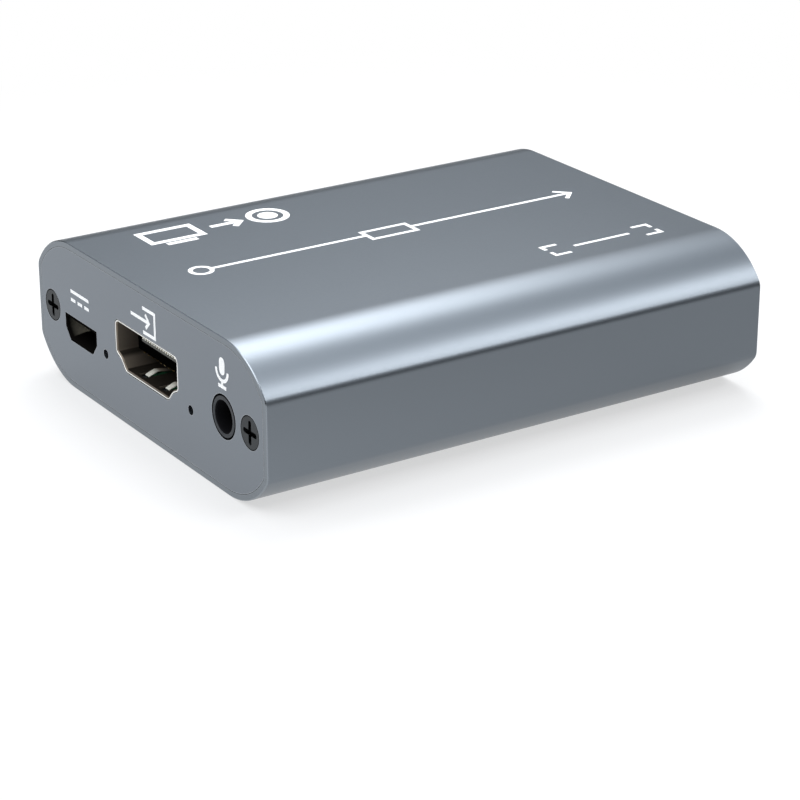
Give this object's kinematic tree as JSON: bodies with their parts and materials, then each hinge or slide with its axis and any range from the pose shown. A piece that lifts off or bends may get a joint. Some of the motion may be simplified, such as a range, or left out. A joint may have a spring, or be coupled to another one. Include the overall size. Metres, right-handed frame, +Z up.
{
  "type": "video capture box",
  "caption": "Small flat metal box with rounded long edges and screwed end plates that carry video, data, power and sound sockets, for recording a video signal.",
  "frame": {"origin": "middle of the flat base, on the surface that the box stands on", "axes": "+Z up, +Y along the extrusion from the input end to the output end, +X to the right as seen from the input end"},
  "size_m": [0.056, 0.07, 0.019],
  "materials": {
    "case_metal": "satin grey anodised, extruded",
    "plate_metal": "satin grey anodised sheet",
    "screw_steel": "dark zinc-plated steel",
    "board_laminate": "green solder mask over glass laminate",
    "socket_steel": "bright nickel-plated sheet steel",
    "insulator_black": "black moulded plastic",
    "insulator_blue": "blue moulded plastic",
    "contact_gold": "thin gold plating over copper alloy",
    "jack_plastic": "black moulded plastic",
    "spring_bronze": "tin-plated spring bronze",
    "light_lens": "milky clear resin",
    "chip_black": "fine matt moulding",
    "crystal_steel": "drawn nickel-plated lid",
    "ferrite": "pressed ferrite powder",
    "can_metal": "bare drawn aluminium can",
    "ceramic": "fired ceramic with tinned ends",
    "resistor_black": "glazed ceramic with tinned ends"
  },
  "bodies": {
    "box": {"case": "case_metal", "front_plate": "plate_metal", "rear_plate": "plate_metal", "front_screws": "screw_steel", "rear_screws": "screw_steel", "circuit_board": "board_laminate", "video_in_shell": "socket_steel", "video_in_insulator": "insulator_black", "video_in_contacts": "contact_gold", "video_out_shell": "socket_steel", "video_out_insulator": "insulator_black", "video_out_contacts": "contact_gold", "data_shell": "socket_steel", "data_insulator": "insulator_blue", "data_contacts": "contact_gold", "power_shell": "socket_steel", "power_insulator": "insulator_black", "power_contacts": "contact_gold", "mic_jack_body": "jack_plastic", "mic_sleeve_contact": "spring_bronze", "audio_jack_body": "jack_plastic", "audio_sleeve_contact": "spring_bronze", "front_lights": "light_lens", "rear_light": "light_lens", "capture_chip": "chip_black", "loop_chip": "chip_black", "sound_chip": "chip_black", "memory_chip": "chip_black", "crystals": "crystal_steel", "regulator": "chip_black", "inductors": "ferrite", "can_capacitors": "can_metal", "small_capacitors": "ceramic", "small_resistors": "resistor_black"},
    "mic_tip_leaf": {"mic_tip_spring": "spring_bronze"},
    "mic_ring_leaf": {"mic_ring_spring": "spring_bronze"},
    "audio_tip_leaf": {"audio_tip_spring": "spring_bronze"},
    "audio_ring_leaf": {"audio_ring_spring": "spring_bronze"}
  },
  "joints": [
    {"name": "mic_tip_bend", "type": "hinge", "parent": "box", "child": "mic_tip_leaf", "pos_m": [0.021, -0.0289, 0.0094], "axis": [0, 0, -1], "range_deg": [0, 4], "stiffness_Nm_per_rad": 0.08},
    {"name": "mic_ring_bend", "type": "hinge", "parent": "box", "child": "mic_ring_leaf", "pos_m": [0.016, -0.0223, 0.0094], "axis": [0, 0, -1], "range_deg": [0, 4], "stiffness_Nm_per_rad": 0.08},
    {"name": "audio_tip_bend", "type": "hinge", "parent": "box", "child": "audio_tip_leaf", "pos_m": [-0.00069, 0.0289, 0.0094], "axis": [0, 0, -1], "range_deg": [0, 4], "stiffness_Nm_per_rad": 0.08},
    {"name": "audio_ring_bend", "type": "hinge", "parent": "box", "child": "audio_ring_leaf", "pos_m": [0.00431, 0.0223, 0.0094], "axis": [0, 0, -1], "range_deg": [0, 4], "stiffness_Nm_per_rad": 0.08}
  ]
}
